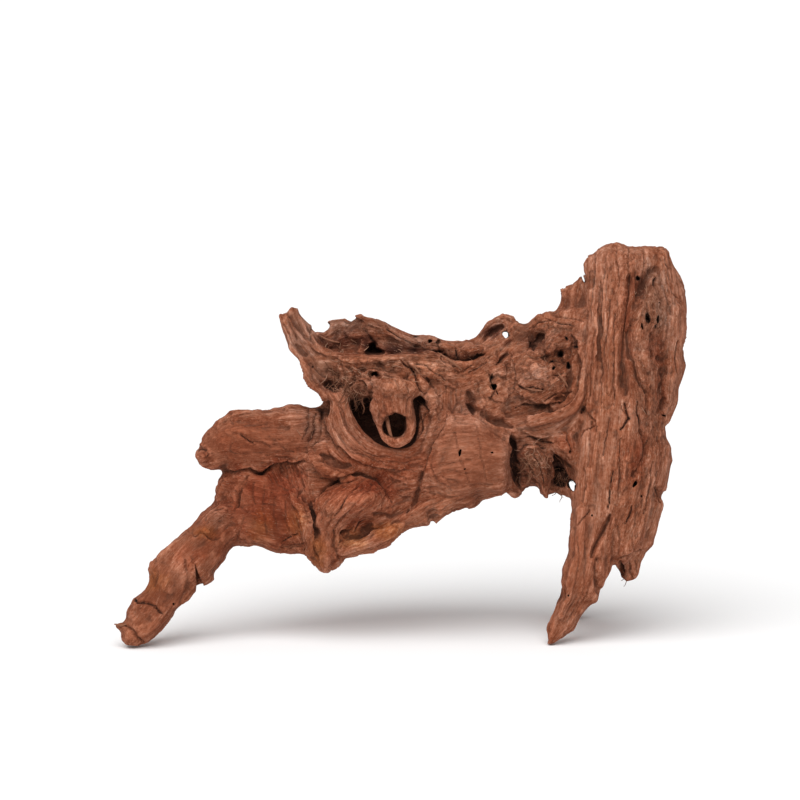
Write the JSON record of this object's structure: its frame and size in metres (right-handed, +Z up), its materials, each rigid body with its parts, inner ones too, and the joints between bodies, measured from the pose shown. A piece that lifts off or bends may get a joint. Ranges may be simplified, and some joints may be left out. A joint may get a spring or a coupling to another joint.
{
  "type": "mangrove root",
  "caption": "Standing piece of red-brown mangrove driftwood: a slanting leg, a knotted body with a broken side stub in a round hollow, a ragged cup and a tall upright slab.",
  "frame": {"origin": "middle of the root's box, on the ground that its three feet stand on", "axes": "+X to the upright slab, along the root's length; +Y away from the side with the round hollow and the stub; +Z up"},
  "size_m": [0.403, 0.1444, 0.278],
  "materials": {
    "wood": "matte, weathered, fibrous grain"
  },
  "bodies": {
    "root": {"mangrove_root": "wood"}
  },
  "joints": []
}
